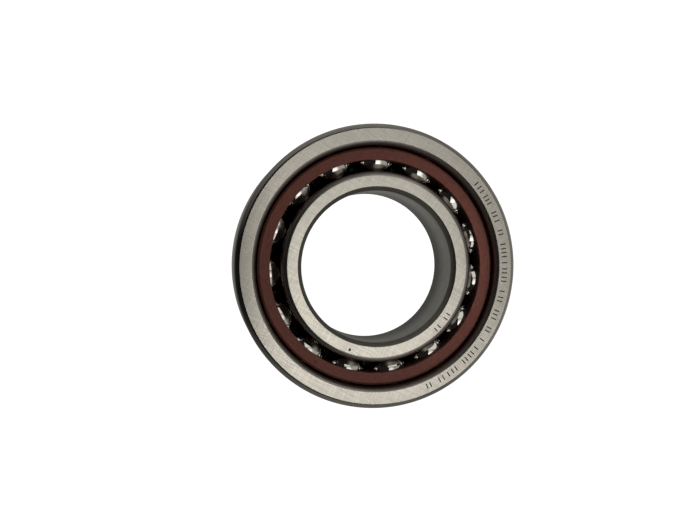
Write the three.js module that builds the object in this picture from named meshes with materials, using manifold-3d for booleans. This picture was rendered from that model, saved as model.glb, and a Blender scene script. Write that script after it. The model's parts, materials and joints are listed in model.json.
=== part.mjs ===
// Open single-row angular-contact ball bearing: two steel rings, a solid drilled cage and fifteen balls.
// Millimetres. +Z is the bearing's axis and the origin is the bearing's centre, so the side faces lie
// at plus and minus half of the width. The front (+Z) side shows the inner ring's low shoulder.
import * as THREE from 'three';
import { mergeVertices } from 'three/addons/utils/BufferGeometryUtils.js';
import Module from 'manifold-3d';

const wasm = await Module();
wasm.setup();

// ---- Driving dimensions ----
const boreRadius = 12.5;
const outerRadius = 23.5;
const width = 12;
const halfWidth = width / 2;

const ballCount = 15;
const ballDiameter = 6.35;
const pitchRadius = 18;
const contactAngle = THREE.MathUtils.degToRad(15);
const firstBallAngle = THREE.MathUtils.degToRad(84);

const grooveRadius = 0.525 * ballDiameter;
const runningClearance = 0.06;

const innerFrontShoulderRadius = 15.7;
const innerBackShoulderRadius = 16.4;
const outerFrontShoulderRadius = 20.0;
const outerBackShoulderRadius = 20.2;

const boreCorner = { radial: 0.69, axial: 0.9 };
const rimCorner = { radial: 0.9, axial: 1.3 };
const innerFrontCorner = { radial: 0.78, axial: 0.7 };
const innerBackCorner = { radial: 0.5, axial: 0.5 };
const outerShoulderCorner = { radial: 0.5, axial: 0.5 };

const cageInnerRadius = 17.65;
const cageOuterRadius = 19.65;
const cageHalfWidth = 4.7;
const cageInnerChamfer = 0.1;
const cageOuterChamfer = 0.35;
const pocketRadius = 3.27;

// ---- Facets ----
const ringSegments = 72;
const cageSegments = 8 * ballCount;
const pocketSegments = 24;
const ballDetail = 3;
const roundCornerSteps = 3;
const grooveStep = THREE.MathUtils.degToRad(12);

// ---- Materials ----
const ringSteel = { color: 0xb9b5a8, roughness: 0.38, metalness: 1 };
const cageResin = { color: 0x5e3a34, roughness: 0.6, metalness: 0 };
const ballSteel = { color: 0xd8d8d8, roughness: 0.06, metalness: 1 };

// ---- Profile helpers: every profile is a closed loop of [radius, height] points ----

// Points along an ellipse's arc, from one angle to another, both ends included.
function arc(centre, radii, startAngle, endAngle, steps) {
  const points = [];
  for (let i = 0; i <= steps; i += 1) {
    const angle = startAngle + ((endAngle - startAngle) * i) / steps;
    points.push([
      centre[0] + radii[0] * Math.cos(angle),
      centre[1] + radii[1] * Math.sin(angle),
    ]);
  }
  return points;
}

// The rounded corner between a cylinder of the given radius and a side face. radialSign is +1 for an
// outside cylinder and -1 for a bore; axialSign is +1 at the front face and -1 at the back one. It runs
// from the cylinder to the face.
function roundCorner(radius, corner, radialSign, axialSign) {
  const centre = [radius - radialSign * corner.radial, axialSign * (halfWidth - corner.axial)];
  const radii = [radialSign * corner.radial, axialSign * corner.axial];
  return arc(centre, radii, 0, Math.PI / 2, roundCornerSteps);
}

// The groove's arc between two shoulders. side is +1 for the outer ring's groove and -1 for the inner
// ring's. The groove's centre lies off the ball's, along the contact line, so that the ball meets the
// groove at the contact angle.
function raceway(side, startRadius, startSign, endRadius, endSign) {
  const offset = grooveRadius - ballDiameter / 2 - runningClearance;
  const centre = [
    pitchRadius - side * offset * Math.cos(contactAngle),
    -side * offset * Math.sin(contactAngle),
  ];
  const angleAt = (shoulderRadius, heightSign) =>
    heightSign * Math.acos((side * (shoulderRadius - centre[0])) / grooveRadius);
  const startAngle = angleAt(startRadius, startSign);
  const endAngle = angleAt(endRadius, endSign);
  const steps = Math.ceil(Math.abs(endAngle - startAngle) / grooveStep);
  return arc(centre, [side * grooveRadius, grooveRadius], startAngle, endAngle, steps);
}

// Turns a closed profile, listed anticlockwise with radius to the right and height up, about +Z.
function revolve(profile, segments, startAngle = 0) {
  const loop = [...profile, profile[0]].map(([radius, height]) => new THREE.Vector2(radius, height));
  const geometry = new THREE.LatheGeometry(loop, segments, startAngle + Math.PI / 2);
  geometry.rotateX(Math.PI / 2);
  return geometry;
}

// ---- Boolean helpers ----

function toSolid(geometry) {
  const bare = geometry.clone();
  bare.deleteAttribute('normal');
  bare.deleteAttribute('uv');
  const merged = mergeVertices(bare);
  const mesh = new wasm.Mesh({
    numProp: 3,
    vertProperties: new Float32Array(merged.attributes.position.array),
    triVerts: new Uint32Array(merged.index.array),
  });
  return new wasm.Manifold(mesh);
}

function toGeometry(solid) {
  const mesh = solid.getMesh();
  const geometry = new THREE.BufferGeometry();
  geometry.setAttribute('position', new THREE.BufferAttribute(mesh.vertProperties, 3));
  geometry.setIndex(new THREE.BufferAttribute(mesh.triVerts, 1));
  geometry.computeVertexNormals();
  return geometry;
}

// ---- Pieces ----

function namedMesh(name, geometry, look) {
  const mesh = new THREE.Mesh(geometry, new THREE.MeshStandardMaterial(look));
  mesh.name = name;
  return mesh;
}

// Outer ring: rounded rim corners, a full shoulder in front of the groove and a relieved one behind it.
function makeOuterRing() {
  const corner = outerShoulderCorner;
  const front = outerFrontShoulderRadius;
  const back = outerBackShoulderRadius;
  const profile = [
    [back + corner.radial, -halfWidth],
    ...roundCorner(outerRadius, rimCorner, 1, -1).reverse(),
    ...roundCorner(outerRadius, rimCorner, 1, 1),
    [front + corner.radial, halfWidth],
    [front, halfWidth - corner.axial],
    ...raceway(1, front, 1, back, -1),
    [back, -(halfWidth - corner.axial)],
  ];
  return namedMesh('outer_ring', revolve(profile, ringSegments), ringSteel);
}

// Inner ring: rounded bore corners, a high shoulder behind the groove and a relieved one in front.
function makeInnerRing() {
  const front = innerFrontShoulderRadius;
  const back = innerBackShoulderRadius;
  const profile = [
    ...roundCorner(boreRadius, boreCorner, -1, -1),
    [back - innerBackCorner.radial, -halfWidth],
    [back, -(halfWidth - innerBackCorner.axial)],
    ...raceway(-1, back, -1, front, 1),
    [front, halfWidth - innerFrontCorner.axial],
    [front - innerFrontCorner.radial, halfWidth],
    ...roundCorner(boreRadius, boreCorner, -1, 1).reverse(),
  ];
  return namedMesh('inner_ring', revolve(profile, ringSegments), ringSteel);
}

// Cage: a solid ring with a round pocket drilled through it towards the axis for each ball.
function makeCage() {
  const profile = [
    [cageInnerRadius, -(cageHalfWidth - cageInnerChamfer)],
    [cageInnerRadius + cageInnerChamfer, -cageHalfWidth],
    [cageOuterRadius - cageOuterChamfer, -cageHalfWidth],
    [cageOuterRadius, -(cageHalfWidth - cageOuterChamfer)],
    [cageOuterRadius, cageHalfWidth - cageOuterChamfer],
    [cageOuterRadius - cageOuterChamfer, cageHalfWidth],
    [cageInnerRadius + cageInnerChamfer, cageHalfWidth],
    [cageInnerRadius, cageHalfWidth - cageInnerChamfer],
  ];
  const drillMargin = 1;
  const drillLength = cageOuterRadius - cageInnerRadius + 2 * drillMargin;
  const drillCentreRadius = (cageOuterRadius + cageInnerRadius) / 2;
  let solid = toSolid(revolve(profile, cageSegments, firstBallAngle));
  for (let i = 0; i < ballCount; i += 1) {
    const angle = ballAngle(i);
    const drill = new THREE.CylinderGeometry(pocketRadius, pocketRadius, drillLength, pocketSegments);
    drill.rotateZ(angle - Math.PI / 2);
    drill.translate(drillCentreRadius * Math.cos(angle), drillCentreRadius * Math.sin(angle), 0);
    solid = solid.subtract(toSolid(drill));
  }
  return namedMesh('cage', toGeometry(solid), cageResin);
}

function ballAngle(index) {
  return firstBallAngle + (index * 2 * Math.PI) / ballCount;
}

function makeBall(index) {
  const name = `ball_${String(index + 1).padStart(2, '0')}`;
  const ball = namedMesh(name, new THREE.IcosahedronGeometry(ballDiameter / 2, ballDetail), ballSteel);
  const angle = ballAngle(index);
  ball.position.set(pitchRadius * Math.cos(angle), pitchRadius * Math.sin(angle), 0);
  return ball;
}

// ---- Assembly ----

const bearing = new THREE.Group();
bearing.add(makeOuterRing());
bearing.add(makeInnerRing());
bearing.add(makeCage());
for (let i = 0; i < ballCount; i += 1) {
  bearing.add(makeBall(i));
}

export default bearing;
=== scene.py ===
# The looks of an open angular-contact ball bearing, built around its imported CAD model.
# Metres. +Z is the bearing's axis, and the front side face looks towards +Z.
import json
import math
import random

import bmesh
import bpy
import numpy as np
from mathutils import Matrix, Vector


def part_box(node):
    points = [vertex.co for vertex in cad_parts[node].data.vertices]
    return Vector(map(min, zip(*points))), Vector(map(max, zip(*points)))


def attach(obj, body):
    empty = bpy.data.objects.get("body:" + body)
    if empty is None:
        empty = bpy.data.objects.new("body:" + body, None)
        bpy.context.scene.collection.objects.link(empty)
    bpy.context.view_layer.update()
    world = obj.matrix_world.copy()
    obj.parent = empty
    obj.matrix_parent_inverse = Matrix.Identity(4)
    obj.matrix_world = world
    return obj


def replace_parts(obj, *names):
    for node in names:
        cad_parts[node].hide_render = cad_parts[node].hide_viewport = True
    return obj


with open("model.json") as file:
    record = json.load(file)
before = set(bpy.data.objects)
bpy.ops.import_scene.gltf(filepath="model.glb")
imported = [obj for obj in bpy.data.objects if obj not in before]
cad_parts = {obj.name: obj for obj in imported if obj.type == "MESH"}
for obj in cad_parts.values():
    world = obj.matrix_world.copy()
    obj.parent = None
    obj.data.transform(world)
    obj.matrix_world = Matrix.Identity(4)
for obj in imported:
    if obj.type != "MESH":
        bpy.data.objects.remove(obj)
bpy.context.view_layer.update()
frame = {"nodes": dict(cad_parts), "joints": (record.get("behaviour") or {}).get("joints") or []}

MM = 0.001

# How near a point must be to a face or a cylinder to count as lying on it
HAIR = 0.01 * MM


# ---- Dimensions, read from the frame ----

def points_of(node):
    """A CAD node's points, as an array of x, y, z."""
    vertices = frame["nodes"][node].data.vertices
    coordinates = np.empty(3 * len(vertices), np.float32)
    vertices.foreach_get("co", coordinates)
    return coordinates.reshape(-1, 3).astype(float)


def radial_range(node, lowest=-math.inf, highest=math.inf):
    """How near to the bearing's axis, and how far from it, a CAD node's points lie between two heights."""
    x, y, z = points_of(node).T
    kept = (z > lowest) & (z < highest)
    distances = np.hypot(x, y)[kept]
    return float(distances.min()), float(distances.max())


def top_face_range(node, height):
    """The inner and outer radius of a CAD node's flat face at a height."""
    return radial_range(node, height - HAIR, height + HAIR)


def height_of_cylinder(node, radius):
    """The height at which a CAD node's cylinder of the given radius ends, in front."""
    x, y, z = points_of(node).T
    on_cylinder = np.abs(np.hypot(x, y) - radius) < HAIR
    return float(z[on_cylinder].max())


half_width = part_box("outer_ring")[1].z
cage_half_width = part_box("cage")[1].z

bore_radius, back_inner_shoulder = radial_range("inner_ring")
front_outer_shoulder, rim_radius = radial_range("outer_ring")
cage_inner_radius, cage_outer_radius = radial_range("cage")

ball_joints = [joint for joint in frame["joints"] if joint["child"].startswith("ball_")]
ball_centres = {joint["child"]: Vector(joint["pos_m"]) for joint in ball_joints}
first_ball, first_centre = next(iter(ball_centres.items()))
ball_radius = float(np.linalg.norm(points_of(first_ball) - np.array(first_centre), axis=1).max())
pitch_radius = first_centre.length
contact_angle = math.acos(ball_joints[0]["axis"][2])

front_inner_shoulder = radial_range("inner_ring", lowest=ball_radius)[1]
back_outer_shoulder = radial_range("outer_ring", highest=-ball_radius)[0]
bore_edge, front_inner_edge = top_face_range("inner_ring", half_width)
back_inner_edge = top_face_range("inner_ring", -half_width)[1]
front_outer_edge, rim_edge = top_face_range("outer_ring", half_width)
back_outer_edge = top_face_range("outer_ring", -half_width)[0]
bore_height = height_of_cylinder("inner_ring", bore_radius)
front_inner_height = height_of_cylinder("inner_ring", front_inner_shoulder)
rim_height = height_of_cylinder("outer_ring", rim_radius)
cage_face_edge = top_face_range("cage", cage_half_width)[1]

# The groove's radius over the ball's, the gap between ball and groove, and how much wider the pocket is
GROOVE_SHARE = 1.05
BALL_CLEARANCE = 0.06 * MM
POCKET_PLAY = 0.094 * MM
groove_radius = GROOVE_SHARE * ball_radius
pocket_radius = ball_radius + POCKET_PLAY

# The small rounding of every machined edge
EDGE_BREAK = 0.035 * MM


# ---- Node helper ----

class Graph:
    """Short calls that add nodes to one tree. A value is a number, a colour or another node's socket."""

    def __init__(self, tree):
        self.tree = tree
        tree.nodes.clear()

    def add(self, kind, settings=None, inputs=None):
        node = self.tree.nodes.new("ShaderNode" + kind)
        for name, value in (settings or {}).items():
            setattr(node, name, value)
        for name, value in (inputs or {}).items():
            if isinstance(value, bpy.types.NodeSocket):
                self.tree.links.new(value, node.inputs[name])
            else:
                node.inputs[name].default_value = value
        return node

    def math(self, operation, *values):
        return self.add("Math", {"operation": operation}, dict(enumerate(values))).outputs[0]

    def vector(self, operation, *values):
        node = self.add("VectorMath", {"operation": operation}, dict(enumerate(values)))
        scalar = operation in ("LENGTH", "DOT_PRODUCT")
        return node.outputs["Value" if scalar else "Vector"]

    def scaled(self, vector, factor):
        node = self.add("VectorMath", {"operation": "SCALE"}, {0: vector, "Scale": factor})
        return node.outputs["Vector"]

    def combine(self, x, y, z):
        return self.add("CombineXYZ", inputs={0: x, 1: y, 2: z}).outputs[0]

    def separate(self, vector):
        return self.add("SeparateXYZ", inputs={0: vector}).outputs

    def noise(self, vector, scale, detail, roughness):
        inputs = {"Vector": vector, "Scale": scale, "Detail": detail, "Roughness": roughness}
        return self.add("TexNoise", inputs=inputs).outputs[0]

    def remap(self, value, low, high, to_low, to_high, smooth=False):
        settings = {"interpolation_type": "SMOOTHSTEP" if smooth else "LINEAR"}
        inputs = {0: value, 1: low, 2: high, 3: to_low, 4: to_high}
        return self.add("MapRange", settings, inputs).outputs[0]

    def mix(self, factor, first, second):
        """Blends two colours, which are the node's seventh and eighth inputs."""
        inputs = {0: factor, 6: first, 7: second}
        return self.add("Mix", {"data_type": "RGBA"}, inputs).outputs[2]

    def bump(self, height, depth):
        """Raises the surface by height times depth, in metres."""
        inputs = {"Strength": 1.0, "Distance": depth, "Height": height}
        return self.add("Bump", inputs=inputs).outputs[0]

    def position_mm(self):
        """The place on the object, in millimetres, in the object's own axes."""
        return self.scaled(self.add("TexCoord").outputs["Object"], 1 / MM)

    def finish(self, shader, kind="OutputMaterial"):
        output = self.add(kind)
        self.tree.links.new(shader, output.inputs["Surface"])


def principled(name, build):
    """A material whose Principled inputs come from build(graph)."""
    material = bpy.data.materials.new(name)
    material.use_nodes = True
    graph = Graph(material.node_tree)
    shader = graph.add("BsdfPrincipled", inputs=build(graph))
    graph.finish(shader.outputs[0])
    return material


# ---- Steel ----

STEEL_WARM = (0.62, 0.591, 0.533, 1)
STEEL_PALE = (0.79, 0.755, 0.681, 1)

# Each set of grinding streaks: its clockwise lean in radians, and its length and width in millimetres
LEANING_STREAKS = (0.6, 4.0, 0.26)
CROSSING_STREAKS = (-1.0, 3.2, 0.26)
STREAK_WANDER = 0.9
STREAK_DEPTH = 0.14e-6

# The noise values between which a finish goes from its darker, rougher look to its paler, smoother one
GROUND_RANGE = (0.38, 0.62)
TURNED_RANGE = (0.35, 0.65)
TURNED_DARK_SHARE = 0.8
TURNED_ROUGHNESS_SPREAD = 0.05


def polar(graph, position):
    """The distance from the bearing's axis, and a pair of numbers that turns once round it."""
    x, y, _ = graph.separate(position)
    radius = graph.vector("LENGTH", graph.combine(x, y, 0.0))
    turn_x = graph.math("DIVIDE", x, radius)
    turn_y = graph.math("DIVIDE", y, radius)
    return radius, turn_x, turn_y


def grinding_streaks(graph, position, lean, length, width):
    """Streaks that lean clockwise from the X direction and wander a little."""
    turned = graph.add("VectorRotate", {"rotation_type": "Z_AXIS"}, {"Vector": position, "Angle": lean})
    x, y, _ = graph.separate(turned.outputs[0])
    wander = graph.math("MULTIPLY", graph.noise(position, 0.3, 2.0, 0.5), STREAK_WANDER)
    y = graph.math("ADD", y, wander)
    stretched = graph.combine(graph.math("DIVIDE", x, length), graph.math("DIVIDE", y, width), 0.0)
    return graph.noise(stretched, 1.0, 1.0, 0.5)


def ground_face_inputs(graph):
    """Side faces: two crossing sets of grinding streaks over faint clouds, with a directional sheen that
    is lined up with the piece's own Y direction."""
    position = graph.position_mm()
    leaning = grinding_streaks(graph, position, *LEANING_STREAKS)
    crossing = grinding_streaks(graph, position, *CROSSING_STREAKS)
    clouds = graph.noise(position, 1.1, 3.0, 0.6)
    tone = graph.math("ADD", graph.math("MULTIPLY", leaning, 0.5), graph.math("MULTIPLY", crossing, 0.4))
    tone = graph.math("ADD", tone, graph.math("MULTIPLY", clouds, 0.1))
    own_y = graph.add("VectorTransform",
                      {"vector_type": "VECTOR", "convert_from": "OBJECT", "convert_to": "WORLD"},
                      {0: (0.0, 1.0, 0.0)})
    return {
        "Metallic": 1.0,
        "Base Color": graph.mix(graph.remap(tone, *GROUND_RANGE, 0.0, 1.0), STEEL_WARM, STEEL_PALE),
        "Roughness": graph.remap(tone, *GROUND_RANGE, 0.30, 0.27),
        "Anisotropic": 0.92,
        "Tangent": own_y.outputs[0],
        "Normal": graph.bump(graph.math("ADD", leaning, crossing), STREAK_DEPTH),
    }


def turned_inputs(colour, roughness, lines_per_mm, depth):
    """Lines round the axis, as turning and cylindrical grinding leave, of a depth in metres."""
    def build(graph):
        position = graph.position_mm()
        radius, turn_x, turn_y = polar(graph, position)
        height = graph.separate(position)[2]
        across = graph.math("MULTIPLY", graph.math("ADD", radius, height), lines_per_mm)
        lines = graph.noise(graph.combine(across, turn_x, turn_y), 1.0, 3.0, 0.6)
        blotches = graph.noise(position, 0.9, 3.0, 0.6)
        shade = graph.math("ADD", graph.math("MULTIPLY", lines, 0.6), graph.math("MULTIPLY", blotches, 0.4))
        darker = tuple(TURNED_DARK_SHARE * channel for channel in colour[:3]) + (1,)
        rougher = roughness + TURNED_ROUGHNESS_SPREAD
        smoother = roughness - TURNED_ROUGHNESS_SPREAD
        return {
            "Metallic": 1.0,
            "Base Color": graph.mix(graph.remap(shade, *TURNED_RANGE, 0.0, 1.0), darker, colour),
            "Roughness": graph.remap(shade, *TURNED_RANGE, rougher, smoother),
            "Normal": graph.bump(lines, depth),
        }
    return build


def etched_inputs(graph):
    """The floor of an etched mark: dark, dull oxide."""
    grains = graph.noise(graph.position_mm(), 9.0, 3.0, 0.6)
    return {
        "Base Color": graph.mix(grains, (0.012, 0.010, 0.008, 1), (0.04, 0.035, 0.028, 1)),
        "Roughness": graph.remap(grains, 0.3, 0.7, 0.6, 0.8),
        "Specular IOR Level": 0.2,
        "Normal": graph.bump(grains, 4.0e-6),
    }


ground_face = principled("ground_side_face", ground_face_inputs)
# The corner and shoulder steels are darker than the side faces' steel: painted shade on the rings' corners
# and shoulders
turned_corner = principled("turned_corner", turned_inputs((0.46, 0.435, 0.40, 1), 0.2, 7.0, 0.6e-6))
ground_round = principled("ground_cylinder", turned_inputs((0.6, 0.585, 0.55, 1), 0.3, 12.0, 1.5e-6))
turned_shoulder = principled("turned_shoulder", turned_inputs((0.36, 0.34, 0.31, 1), 0.36, 9.0, 1.0e-6))
honed_groove = principled("honed_groove", turned_inputs((0.32, 0.31, 0.29, 1), 0.18, 16.0, 0.5e-6))
etched_mark = principled("etched_mark", etched_inputs)

RING_FINISHES = [ground_face, turned_corner, ground_round, turned_shoulder, honed_groove, etched_mark]

# Each finish's place in that list, by which an outline names it
FACE, CORNER, CYLINDER, SHOULDER, GROOVE, ETCHED = range(len(RING_FINISHES))


# ---- Ball steel ----

BALL_GREY = (0.78, 0.76, 0.71, 1)
BALL_PALE = (0.86, 0.84, 0.79, 1)
SCRATCH_DEPTH = -0.3e-6
SCRATCH_WANDER = 2.5
SCRATCH_STRETCH = (14.0, 1.2, 1.2)
SCRATCH_RANGE = (0.68, 0.74)


def ball_inputs(graph):
    """Lapped to a mirror, with hairline scratches from handling."""
    position = graph.position_mm()
    cloud = graph.noise(position, 0.8, 4.0, 0.6)
    warped = graph.vector("ADD", position, graph.scaled(graph.combine(cloud, cloud, 0.0), SCRATCH_WANDER))
    hair = graph.noise(graph.vector("MULTIPLY", warped, SCRATCH_STRETCH), 1.0, 2.0, 0.5)
    scratch = graph.remap(hair, *SCRATCH_RANGE, 0.0, 1.0)
    return {
        "Metallic": 1.0,
        "Base Color": graph.mix(cloud, BALL_GREY, BALL_PALE),
        "Roughness": graph.math("ADD", graph.remap(cloud, 0.3, 0.7, 0.03, 0.06),
                                graph.math("MULTIPLY", scratch, 0.1)),
        "Normal": graph.bump(scratch, SCRATCH_DEPTH),
    }


mirror_ball = principled("lapped_ball", ball_inputs)


# ---- Cage resin ----

RESIN_DARK = (0.120, 0.038, 0.028, 1)
RESIN_PALE = (0.215, 0.075, 0.057, 1)
# The resin's colour where the painted shade darkens it fully
RESIN_PAINTED_SHADE = (0.012, 0.006, 0.005, 1)
LAYERS_PER_MM = 4.2
LAYER_WANDER = 2.2
THREADS_ROUND = 300.0
THREAD_RADIANS_PER_MM = 16.0
FIBRES_PER_MM = 5.0
FIBRES_ROUND = 14.0

# Painted shade: the resin is darkened by the share below from the first of these depths below a side face,
# in millimetres, and the darkening fades out towards the second
PAINTED_SHADE_DEPTHS = (2.0, 0.1)
PAINTED_SHADE_SHARE = 0.9


def laminate_inputs(graph):
    """Cotton cloth wound in layers and bound in dark red-brown resin, then machined, with painted shade
    deep inside the cage.
    """
    position = graph.position_mm()
    radius, turn_x, turn_y = polar(graph, position)
    height = graph.separate(position)[2]
    angle = graph.math("ARCTAN2", turn_y, turn_x)
    waviness = graph.noise(position, 0.8, 2.0, 0.5)
    layer = graph.math("ADD", graph.math("MULTIPLY", radius, LAYERS_PER_MM),
                       graph.math("MULTIPLY", waviness, LAYER_WANDER))
    layers = graph.math("SINE", graph.math("MULTIPLY", layer, math.tau))
    around = graph.math("SINE", graph.math("MULTIPLY", angle, THREADS_ROUND))
    along = graph.math("SINE", graph.math("MULTIPLY", height, THREAD_RADIANS_PER_MM))
    weave = graph.math("MULTIPLY", around, along)
    stretched = graph.combine(graph.math("MULTIPLY", radius, FIBRES_PER_MM),
                              graph.math("MULTIPLY", turn_x, FIBRES_ROUND),
                              graph.math("MULTIPLY", turn_y, FIBRES_ROUND))
    fibres = graph.noise(stretched, 1.6, 4.0, 0.65)
    thread = graph.math("ADD", graph.math("MULTIPLY", layers, 0.10), graph.math("MULTIPLY", weave, 0.06))
    tone = graph.math("ADD", fibres, thread)
    resin = graph.mix(graph.remap(tone, 0.3, 0.7, 0.0, 1.0), RESIN_DARK, RESIN_PALE)
    deep, shallow = (cage_half_width / MM - depth for depth in PAINTED_SHADE_DEPTHS)
    # Painted shade: the resin darkens deeper below the side faces, in the pockets and on the walls
    painted_shade = graph.remap(graph.math("ABSOLUTE", height), deep, shallow, PAINTED_SHADE_SHARE, 0.0)
    return {
        "Base Color": graph.mix(painted_shade, resin, RESIN_PAINTED_SHADE),
        "Roughness": graph.remap(tone, 0.3, 0.7, 0.62, 0.48),
        "Specular IOR Level": 0.25,
        "Normal": graph.bump(tone, 12.0e-6),
    }


cage_laminate = principled("cage_laminate", laminate_inputs)


# ---- Outlines: closed paths of (radius, height, fillet, finish of the stretch that follows) ----

FILLET_STEP = math.radians(22)

# A stretch longer than LONG_STRETCH fillets gets a point SUPPORT fillets away, to keep it flat
LONG_STRETCH = 8
SUPPORT = 1.5


def rounded(path):
    """Rounds a path's corners. Returns its points and the finish of the stretch after each."""
    points = []
    finishes = []
    for index, (radius, height, fillet, finish) in enumerate(path):
        here = Vector((radius, height))
        if fillet == 0:
            points.append(here)
            finishes.append(finish)
            continue
        last_finish = path[index - 1][3]
        back = Vector(path[index - 1][:2]) - here
        ahead = Vector(path[(index + 1) % len(path)][:2]) - here
        turn = math.pi - back.angle(ahead)
        setback = fillet * math.tan(turn / 2)
        start = here + back.normalized() * setback
        end = here + ahead.normalized() * setback
        centre = here + (back.normalized() + ahead.normalized()).normalized() * fillet / math.cos(turn / 2)
        sweep = turn if (start - here).cross(end - here) < 0 else -turn
        if back.length > LONG_STRETCH * fillet:
            points.append(start + back.normalized() * SUPPORT * fillet)
            finishes.append(last_finish)
        steps = max(2, math.ceil(turn / FILLET_STEP))
        for step in range(steps + 1):
            spoke = start - centre
            spoke.rotate(Matrix.Rotation(sweep * step / steps, 2))
            points.append(centre + spoke)
            finishes.append(finish if step == steps else last_finish)
        if ahead.length > LONG_STRETCH * fillet:
            points.append(end + ahead.normalized() * SUPPORT * fillet)
            finishes.append(finish)
    return points, finishes


def bulged(start, end, bulge, steps, finish):
    """The inner points of a round stretch between two points, which bulges to the right by bulge
    times its length."""
    a = Vector(start)
    b = Vector(end)
    chord = b - a
    half_turn = 2 * math.atan(2 * bulge)
    radius = chord.length / 2 / math.sin(half_turn)
    to_left = Vector((-chord.y, chord.x)).normalized()
    centre = (a + b) / 2 + to_left * radius * math.cos(half_turn)
    stretch = []
    for step in range(1, steps):
        spoke = a - centre
        spoke.rotate(Matrix.Rotation(2 * half_turn * step / steps, 2))
        point = centre + spoke
        stretch.append((point.x, point.y, 0, finish))
    return stretch


GROOVE_STEPS = 24


def groove(side, start_shoulder, start_sign, end_shoulder, end_sign):
    """The raceway's arc between two shoulders: side is +1 in the outer ring, -1 on the inner one, and
    each sign is +1 for a shoulder on the front half and -1 for one on the back half."""
    offset = groove_radius - ball_radius - BALL_CLEARANCE
    centre_radius = pitch_radius - side * offset * math.cos(contact_angle)
    centre_height = -side * offset * math.sin(contact_angle)
    start = start_sign * math.acos(side * (start_shoulder - centre_radius) / groove_radius)
    end = end_sign * math.acos(side * (end_shoulder - centre_radius) / groove_radius)
    stretch = []
    for step in range(GROOVE_STEPS + 1):
        angle = start + (end - start) * step / GROOVE_STEPS
        fillet = EDGE_BREAK if step in (0, GROOVE_STEPS) else 0
        finish = SHOULDER if step == GROOVE_STEPS else GROOVE
        stretch.append((centre_radius + side * groove_radius * math.cos(angle),
                        centre_height + groove_radius * math.sin(angle), fillet, finish))
    return stretch


# ---- Mesh helpers ----

def link_mesh(name, mesh, materials):
    """Puts a mesh into the scene, as an object that has these materials."""
    piece = bpy.data.objects.new(name, mesh)
    bpy.context.scene.collection.objects.link(piece)
    for material in materials:
        mesh.materials.append(material)
    return piece


def lathe(name, path, segments, materials):
    """Turns a closed path, listed anticlockwise, about +Z into a smooth-shaded piece."""
    points, finishes = rounded(path)
    count = len(points)
    profile = np.array([(p.x, p.y) for p in points])
    angles = np.arange(segments) * math.tau / segments
    vertices = np.empty((segments, count, 3))
    vertices[:, :, 0] = np.cos(angles)[:, None] * profile[:, 0]
    vertices[:, :, 1] = np.sin(angles)[:, None] * profile[:, 0]
    vertices[:, :, 2] = profile[:, 1]
    near = np.arange(segments)[:, None] * count
    far = (np.arange(segments)[:, None] + 1) % segments * count
    along = np.arange(count)[None, :]
    after = (along + 1) % count
    faces = np.stack([near + along, near + after, far + after, far + along], axis=-1).reshape(-1, 4)
    mesh = bpy.data.meshes.new(name)
    mesh.from_pydata(vertices.reshape(-1, 3).tolist(), [], faces[:, ::-1].tolist())
    mesh.polygons.foreach_set("material_index", np.tile(finishes, segments))
    mesh.polygons.foreach_set("use_smooth", np.ones(len(faces), bool))
    mesh.validate()
    return link_mesh(name, mesh, materials)


# How deep the marks are, and how far their walls lean in, as a share of that depth
MARK_DEPTH = 0.02 * MM
MARK_SLOPE = 0.25


def etch(piece, rows, marks):
    """Sinks marks with steep walls into the front face. rows are the radii between rows, and each mark
    is the angle range and the row range of one stroke."""
    mesh = bmesh.new()
    mesh.from_mesh(piece.data)
    strokes = [[] for _ in marks]
    for face in mesh.faces:
        centre = face.calc_center_median()
        radius = math.hypot(centre.x, centre.y)
        if centre.z < half_width - HAIR or not rows[0] < radius < rows[-1]:
            continue
        row = sum(radius > edge for edge in rows) - 1
        angle = math.atan2(centre.y, centre.x)
        for index, (start, end, first_row, last_row) in enumerate(marks):
            if start < angle < end and first_row <= row <= last_row:
                strokes[index].append(face)
                break
    for faces in strokes:
        if not faces:
            continue
        inset = bmesh.ops.inset_region(mesh, faces=faces, thickness=MARK_SLOPE * MARK_DEPTH,
                                       depth=-MARK_DEPTH, use_even_offset=True)
        for face in faces + inset["faces"]:
            face.material_index = ETCHED
            for edge in face.edges:
                edge.smooth = False
    mesh.to_mesh(piece.data)
    mesh.free()


# ---- Rings ----

OUTER_SEGMENTS = 1440
INNER_SEGMENTS = 960

# The radii that part the four rows of the marks on each ring, and the angles that the marks span
OUTER_MARK_ROWS = [21.05 * MM + row * 0.225 * MM for row in range(5)]
INNER_MARK_ROWS = [13.9 * MM + row * 0.2 * MM for row in range(5)]
OUTER_BARS = (math.radians(36), math.radians(-72.5))
INNER_BARS = (math.radians(-37), math.radians(-53))
INNER_DOT = math.radians(-113)

# In segments of the ring: a bar's width, the steps from one bar to the next, and half the dot's width
BAR_WIDTH = 2
BAR_STEPS = [7, 8, 9, 11, 18]
DOT_REACH = 2


def flat_points(radii, height, finish):
    """Extra points along a flat face."""
    return [(radius, height, 0, finish) for radius in radii]


# How much further than the CAD's chamfer the outer ring's front lip is rounded, along the face and down
FRONT_LIP_SPREAD = (1.3, 2.2)

# Each rounded corner's bulge, as a share of its length, and its number of steps
RIM_CORNER = (0.12, 10)
FRONT_LIP = (0.16, 10)
INNER_FRONT_CORNER = (0.11, 6)
BORE_CORNER = (0.03, 8)


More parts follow.
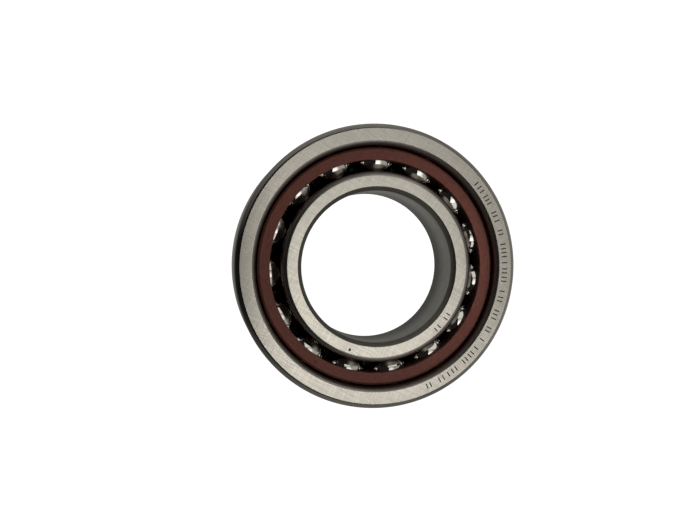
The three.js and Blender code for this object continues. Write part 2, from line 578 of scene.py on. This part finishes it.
def make_outer_ring():
    """Rounded rim corners, a full shoulder with a rounded lip in front, and a relieved one behind."""
    front = front_outer_shoulder
    back = back_outer_shoulder
    front_lip = front_outer_edge - front
    back_lip = back_outer_edge - back
    lip_start = front + FRONT_LIP_SPREAD[0] * front_lip
    lip_end = half_width - FRONT_LIP_SPREAD[1] * front_lip
    path = [
        (back_outer_edge, -half_width, EDGE_BREAK, FACE),
        (rim_edge, -half_width, EDGE_BREAK, CORNER),
        *bulged((rim_edge, -half_width), (rim_radius, -rim_height), *RIM_CORNER, CORNER),
        (rim_radius, -rim_height, 0, CYLINDER),
        (rim_radius, rim_height, 0, CORNER),
        *bulged((rim_radius, rim_height), (rim_edge, half_width), *RIM_CORNER, CORNER),
        (rim_edge, half_width, EDGE_BREAK, FACE),
        *flat_points(reversed(OUTER_MARK_ROWS), half_width, FACE),
        (lip_start, half_width, EDGE_BREAK, SHOULDER),
        *bulged((lip_start, half_width), (front, lip_end), *FRONT_LIP, SHOULDER),
        (front, lip_end, 0, SHOULDER),
        *groove(1, front, 1, back, -1),
        (back, -(half_width - back_lip), EDGE_BREAK, SHOULDER),
    ]
    return lathe("outer_ring_steel", path, OUTER_SEGMENTS, RING_FINISHES)


def make_inner_ring():
    """Rounded bore corners, a low shoulder in front of the groove, and a high one behind it."""
    front = front_inner_shoulder
    back = back_inner_shoulder
    back_lip = back - back_inner_edge
    path = [
        (bore_radius, -bore_height, 0, CORNER),
        *bulged((bore_radius, -bore_height), (bore_edge, -half_width), *BORE_CORNER, CORNER),
        (bore_edge, -half_width, EDGE_BREAK, FACE),
        (back_inner_edge, -half_width, EDGE_BREAK, SHOULDER),
        (back, -(half_width - back_lip), EDGE_BREAK, SHOULDER),
        *groove(-1, back, -1, front, 1),
        (front, front_inner_height, EDGE_BREAK, SHOULDER),
        *bulged((front, front_inner_height), (front_inner_edge, half_width), *INNER_FRONT_CORNER, SHOULDER),
        (front_inner_edge, half_width, EDGE_BREAK, FACE),
        *flat_points(reversed(INNER_MARK_ROWS), half_width, FACE),
        (bore_edge, half_width, EDGE_BREAK, SHOULDER),
        *bulged((bore_edge, half_width), (bore_radius, bore_height), *BORE_CORNER, SHOULDER),
        (bore_radius, bore_height, 0, CYLINDER),
    ]
    return lathe("inner_ring_steel", path, INNER_SEGMENTS, RING_FINISHES)


def row_of_bars(start, end, segments, draw):
    """Plain bars across all four rows, clockwise from start to end. The gaps between them are drawn at
    random, so they spell nothing."""
    cell = math.tau / segments
    marks = []
    position = round(start / cell)
    last = round(end / cell)
    while position > last:
        marks.append(((position - BAR_WIDTH) * cell, position * cell, 0, 3))
        position -= draw.choice(BAR_STEPS)
    return marks


def dot_mark(angle, segments):
    """A small square dot in the two middle rows."""
    cell = math.tau / segments
    centre = round(angle / cell)
    return [((centre - DOT_REACH) * cell, (centre + DOT_REACH) * cell, 1, 2)]


draw = random.Random(7)

outer_ring = make_outer_ring()
etch(outer_ring, OUTER_MARK_ROWS, row_of_bars(*OUTER_BARS, OUTER_SEGMENTS, draw))
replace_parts(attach(outer_ring, "outer_ring"), "outer_ring")

inner_ring = make_inner_ring()
inner_marks = row_of_bars(*INNER_BARS, INNER_SEGMENTS, draw) + dot_mark(INNER_DOT, INNER_SEGMENTS)
etch(inner_ring, INNER_MARK_ROWS, inner_marks)
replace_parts(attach(inner_ring, "inner_ring"), "inner_ring")


# ---- Cage ----

CAGE_SEGMENTS = 360
POCKET_SEGMENTS = 96
CAGE_EDGE = 0.06 * MM
CAGE_SHARP_ANGLE = math.radians(35)
WELD_DISTANCE = 0.0005 * MM


def sharpen(mesh, angle):
    """Marks the edges that bend by more than angle, so that smooth shading breaks there."""
    for edge in mesh.edges:
        if len(edge.link_faces) == 2 and edge.calc_face_angle(0) > angle:
            edge.smooth = False


def pocket_drills():
    """One radial cylinder for each ball, as a single object."""
    mesh = bmesh.new()
    middle = (cage_inner_radius + cage_outer_radius) / 2
    length = 2 * (cage_outer_radius - cage_inner_radius)
    for centre in ball_centres.values():
        outward = centre.normalized()
        turn = outward.to_track_quat("Z", "Y").to_matrix().to_4x4()
        place = Matrix.Translation(outward * middle) @ turn
        bmesh.ops.create_cone(mesh, cap_ends=True, segments=POCKET_SEGMENTS, radius1=pocket_radius,
                              radius2=pocket_radius, depth=length, matrix=place)
    drills = bpy.data.meshes.new("drills")
    mesh.to_mesh(drills)
    mesh.free()
    return link_mesh("drills", drills, [])


def make_cage():
    """A chamfered ring with a round pocket cut through it for each ball."""
    inner = cage_inner_radius
    outer = cage_outer_radius
    top = cage_half_width
    chamfer = outer - cage_face_edge
    path = [
        (inner, -top, CAGE_EDGE, 0),
        (cage_face_edge, -top, CAGE_EDGE, 0),
        (outer, -(top - chamfer), CAGE_EDGE, 0),
        (outer, top - chamfer, CAGE_EDGE, 0),
        (cage_face_edge, top, CAGE_EDGE, 0),
        (inner, top, CAGE_EDGE, 0),
    ]
    cage = lathe("cage_ring", path, CAGE_SEGMENTS, [cage_laminate])
    drills = pocket_drills()
    cut = cage.modifiers.new("pockets", "BOOLEAN")
    cut.operation = "DIFFERENCE"
    cut.solver = "EXACT"
    cut.object = drills
    graph = bpy.context.evaluated_depsgraph_get()
    drilled = bpy.data.meshes.new_from_object(cage.evaluated_get(graph))
    cage.modifiers.clear()
    cage.data = drilled
    bpy.data.objects.remove(drills)
    mesh = bmesh.new()
    mesh.from_mesh(drilled)
    bmesh.ops.remove_doubles(mesh, verts=mesh.verts, dist=WELD_DISTANCE)
    sharpen(mesh, CAGE_SHARP_ANGLE)
    mesh.to_mesh(drilled)
    mesh.free()
    return cage


cage = make_cage()
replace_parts(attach(cage, "cage"), "cage")


# ---- Balls ----

BALL_SUBDIVISIONS = 5


def make_ball(node, draw):
    """A round ball, turned at random so that no two show the same scratches."""
    mesh = bmesh.new()
    bmesh.ops.create_icosphere(mesh, subdivisions=BALL_SUBDIVISIONS, radius=ball_radius)
    for face in mesh.faces:
        face.smooth = True
    data = bpy.data.meshes.new(node + "_steel")
    mesh.to_mesh(data)
    mesh.free()
    ball = link_mesh(node + "_steel", data, [mirror_ball])
    ball.location = ball_centres[node]
    ball.rotation_euler = [draw.uniform(0, math.tau) for _ in range(3)]
    return ball


for node in ball_centres:
    ball = make_ball(node, draw)
    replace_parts(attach(ball, node), node)


# ---- Stage: a plain pale floor ----

STUDIO_WHITE = (1.0, 0.98, 0.93, 1)
BACKDROP_WHITE = (1.0, 1.0, 1.0, 1)
BACKDROP_STRENGTH = 1.1

FLOOR_HALF_SIZE = 4.0
FLOOR_GAP = 0.01 * MM

# The matt floor's albedo for other surfaces and for the camera, and the glow that the camera sees it with
FLOOR_ALBEDO = (0.06, 0.85)
FLOOR_PALENESS = 0.6

# The floor turns white between these cosines of the view's angle from straight above, and, at any
# angle, between these distances from the bearing's axis
FROM_ABOVE = (0.5, 0.75)
FLOOR_FADE = (45 * MM, 120 * MM)

# The floor's glow in reflections, beside the rim and in the bore. In the bore it dims outwards, down to
# BORE_GLOW_EDGE, and it is BORE_GLOW_FAR times as bright on the far side
FLOOR_GLOW = 0.26
FLOOR_GLOW_REACH = 26 * MM
BORE_GLOW = 0.175
BORE_GLOW_EDGE = 0.45 * BORE_GLOW
BORE_GLOW_REACH = 3.5 * MM
BORE_GLOW_FAR = 1.4

# The glow near the horizon: on the right and the far side, and on the near side
LOW_GLOW = 0.3
LOW_GLOW_NEAR = 0.2


def low_glow(graph, x, y):
    """How bright the surroundings look near the horizon, towards x and y: dark on the left only."""
    right = graph.remap(x, 0.0, 0.9, 0.0, LOW_GLOW)
    far = graph.remap(y, 0.3, 1.0, 0.0, LOW_GLOW)
    near = graph.remap(y, -1.0, -0.3, LOW_GLOW_NEAR, 0.0)
    return graph.math("MAXIMUM", right, graph.math("MAXIMUM", far, near))


def reflected_glow(graph, radius, turn_x, turn_y):
    """The floor's brightness in reflections."""
    around = graph.remap(radius, rim_edge, rim_edge + FLOOR_GLOW_REACH, FLOOR_GLOW, 0.0)
    around = graph.math("MAXIMUM", around, low_glow(graph, turn_x, turn_y))
    inside = graph.remap(radius, bore_radius - BORE_GLOW_REACH, bore_radius, BORE_GLOW, BORE_GLOW_EDGE)
    inside = graph.math("MULTIPLY", inside, graph.remap(turn_y, 0.0, 0.8, 1.0, BORE_GLOW_FAR))
    in_bore = graph.math("LESS_THAN", radius, bore_edge)
    return graph.add("Mix", inputs={0: in_bore, 2: around, 3: inside}).outputs[0]


def camera_is_below(graph):
    """One where the camera is below the floor, and zero where it is above."""
    eye = graph.add("VectorTransform",
                    {"vector_type": "POINT", "convert_from": "CAMERA", "convert_to": "WORLD"},
                    {0: (0.0, 0.0, 0.0)})
    return graph.math("LESS_THAN", graph.separate(eye.outputs[0])[2], -half_width)


def floor_shader(graph):
    """White for a camera high above or far off the bearing, otherwise matt and pale, with a dim glow in
    reflections. Its white and glow are left out under the rings, which paints a shadow there, and it isn't
    there for a camera that looks from below."""
    geometry = graph.add("NewGeometry")
    seen_by_camera = graph.add("LightPath").outputs["Is Camera Ray"]
    radius, turn_x, turn_y = polar(graph, geometry.outputs["Position"])
    # The floor under the rings, where its white and glow are left out: a painted shadow
    covered = graph.math("MULTIPLY", graph.math("GREATER_THAN", radius, bore_edge),
                         graph.math("LESS_THAN", radius, rim_edge))
    uncovered = graph.math("SUBTRACT", 1.0, covered)

    facing = graph.vector("DOT_PRODUCT", geometry.outputs["Incoming"], (0.0, 0.0, 1.0))
    from_above = graph.remap(facing, *FROM_ABOVE, 0.0, 1.0)
    far_off = graph.remap(radius, *FLOOR_FADE, 0.0, 1.0, smooth=True)
    whiteness = graph.math("MULTIPLY", seen_by_camera, graph.math("MAXIMUM", from_above, far_off))
    whiteness = graph.math("MULTIPLY", whiteness, uncovered)
    white = graph.add("Emission", inputs={"Color": BACKDROP_WHITE, "Strength": BACKDROP_STRENGTH})

    albedo = graph.remap(seen_by_camera, 0.0, 1.0, *FLOOR_ALBEDO)
    matt = graph.add("BsdfDiffuse", inputs={"Color": graph.combine(albedo, albedo, albedo)})
    reflected = reflected_glow(graph, radius, turn_x, turn_y)
    glow = graph.add("Mix", inputs={0: seen_by_camera, 2: reflected, 3: FLOOR_PALENESS}).outputs[0]
    glow = graph.math("MULTIPLY", glow, uncovered)
    dim = graph.add("Emission", inputs={"Color": STUDIO_WHITE, "Strength": glow})
    pale = graph.add("AddShader", inputs={0: matt.outputs[0], 1: dim.outputs[0]})

    top = graph.add("MixShader", inputs={0: whiteness, 1: pale.outputs[0], 2: white.outputs[0]})
    nothing = graph.add("BsdfTransparent")
    inputs = {0: camera_is_below(graph), 1: top.outputs[0], 2: nothing.outputs[0]}
    return graph.add("MixShader", inputs=inputs).outputs[0]


def make_floor():
    """The floor that the bearing lies on."""
    size = FLOOR_HALF_SIZE
    corners = [(-size, -size, 0), (size, -size, 0), (size, size, 0), (-size, size, 0)]
    mesh = bpy.data.meshes.new("floor")
    mesh.from_pydata(corners, [], [(0, 1, 2, 3)])
    material = bpy.data.materials.new("pale_floor")
    material.use_nodes = True
    graph = Graph(material.node_tree)
    graph.finish(floor_shader(graph))
    floor = link_mesh("floor", mesh, [material])
    floor.location.z = -half_width - FLOOR_GAP


make_floor()


# ---- Studio light: a near key panel to the right of the camera, in a dark room with dimmer panels ----

# The key panel's height, and its corners: near left, near right, far right and far left
KEY_HEIGHT = 120 * MM
KEY_CORNERS = [(-21.5 * MM, -54 * MM), (85 * MM, -54 * MM), (85 * MM, 34 * MM), (-4.5 * MM, 34 * MM)]
KEY_STRENGTH = 1.38

# Each fade: where it starts and ends, and the share of the light left there
KEY_FADE_RIGHT = (32 * MM, 68 * MM, 0.32)
KEY_FADE_FAR = (-22 * MM, 24 * MM, 0.33)


def make_key_panel(name, height):
    """A glowing panel that fades to the right and towards its far end. The camera doesn't see it."""
    mesh = bpy.data.meshes.new(name)
    mesh.from_pydata([(x, y, height) for x, y in KEY_CORNERS], [], [(0, 1, 2, 3)])
    material = bpy.data.materials.new(name)
    material.use_nodes = True
    graph = Graph(material.node_tree)
    x, y, _ = graph.separate(graph.add("NewGeometry").outputs["Position"])
    start, end, share = KEY_FADE_RIGHT
    fade = graph.remap(x, start, end, 1.0, share)
    start, end, share = KEY_FADE_FAR
    fade = graph.math("MULTIPLY", fade, graph.remap(y, start, end, 1.0, share))
    strength = graph.math("MULTIPLY", fade, KEY_STRENGTH)
    light = graph.add("Emission", inputs={"Color": STUDIO_WHITE, "Strength": strength})
    graph.finish(light.outputs[0])
    panel = link_mesh(name, mesh, [material])
    panel.visible_camera = False


make_key_panel("key_panel_above", KEY_HEIGHT)
make_key_panel("key_panel_below", -KEY_HEIGHT)


FILL_PLACE = Vector((50.0, 8.0, 34.0)) * MM
FILL_SIZE = 24 * MM
FILL_POWER = 0.009


def make_fill_light():
    """A small soft light near the right-hand side. Mirror-like surfaces don't show it."""
    data = bpy.data.lights.new("fill", "AREA")
    data.size = FILL_SIZE
    data.energy = FILL_POWER
    fill = bpy.data.objects.new("fill", data)
    bpy.context.scene.collection.objects.link(fill)
    fill.location = FILL_PLACE
    fill.rotation_euler = FILL_PLACE.to_track_quat("Z", "Y").to_euler()
    fill.visible_glossy = False
    fill.visible_camera = False


make_fill_light()


# The room's dimmer panels: the x range and y range of their direction, and their strength. Then their soft
# edge, the light between them, and how steeply up or down a direction has to be to meet them
ROOM_PANELS = [
    ((-0.2, 0.7), (0.34, 0.85), 0.68),
    ((-0.1, 0.4), (-0.9, -0.47), 0.75),
    ((0.4, 0.97), (-0.8, 0.3), 0.34),
]
ROOM_SOFTNESS = 0.03
ROOM_DARK = 0.012
ROOM_HORIZON = (0.2, 0.3)


def make_room():
    """Panels set far off by direction, alike above and below, in a nearly black room. The camera sees
    plain white instead."""
    world = bpy.data.worlds.new("studio")
    bpy.context.scene.world = world
    world.use_nodes = True
    graph = Graph(world.node_tree)
    direction = graph.vector("NORMALIZE", graph.add("TexCoord").outputs["Generated"])
    x, y, z = graph.separate(direction)
    height = graph.math("ABSOLUTE", z)
    above_horizon = graph.remap(height, *ROOM_HORIZON, 0.0, 1.0, smooth=True)

    def within(value, low, high):
        rise = graph.remap(value, low - ROOM_SOFTNESS, low + ROOM_SOFTNESS, 0.0, 1.0, smooth=True)
        fall = graph.remap(value, high - ROOM_SOFTNESS, high + ROOM_SOFTNESS, 1.0, 0.0, smooth=True)
        return graph.math("MULTIPLY", rise, fall)

    light = ROOM_DARK
    for x_range, y_range, strength in ROOM_PANELS:
        shape = graph.math("MULTIPLY", within(x, *x_range), within(y, *y_range))
        shape = graph.math("MULTIPLY", shape, above_horizon)
        light = graph.math("ADD", light, graph.math("MULTIPLY", shape, strength))
    glow = graph.math("MULTIPLY", graph.math("SUBTRACT", 1.0, above_horizon), low_glow(graph, x, y))
    light = graph.math("ADD", light, glow)
    seen_by_camera = graph.add("LightPath").outputs["Is Camera Ray"]
    background = graph.add("Background", inputs={"Color": STUDIO_WHITE, "Strength": light})
    white = graph.add("Background", inputs={"Color": BACKDROP_WHITE, "Strength": BACKDROP_STRENGTH})
    shader = graph.add("MixShader",
                       inputs={0: seen_by_camera, 1: background.outputs[0], 2: white.outputs[0]})
    graph.finish(shader.outputs[0], "OutputWorld")


make_room()


# ---- Camera: from above and a little to the left, as an object on a table is photographed ----

CAMERA_PLACE = Vector((-27.93, 5.97, 143.82)) * MM
CAMERA_TARGET = Vector((-9.88, -0.80, 0.0)) * MM
CAMERA_UP = Vector((0.0727, 0.9966, -0.0378))
CAMERA_LENS = 44.13
CAMERA_SENSOR = 36.0
CAMERA_SHIFT = (0.0517, 0.0140)
CAMERA_SEES = (0.001, 20.0)


def make_camera():
    """The scene's camera, turned so that its up direction leans as CAMERA_UP does."""
    data = bpy.data.cameras.new("camera")
    data.lens = CAMERA_LENS
    data.sensor_width = CAMERA_SENSOR
    data.shift_x, data.shift_y = CAMERA_SHIFT
    data.clip_start, data.clip_end = CAMERA_SEES
    camera = bpy.data.objects.new("camera", data)
    bpy.context.scene.collection.objects.link(camera)
    back = (CAMERA_PLACE - CAMERA_TARGET).normalized()
    right = CAMERA_UP.cross(back).normalized()
    up = back.cross(right)
    turn = Matrix((right, up, back)).transposed().to_4x4()
    camera.matrix_world = Matrix.Translation(CAMERA_PLACE) @ turn
    bpy.context.scene.camera = camera


make_camera()

# Plain colours, without a film curve
bpy.context.scene.view_settings.view_transform = "Standard"
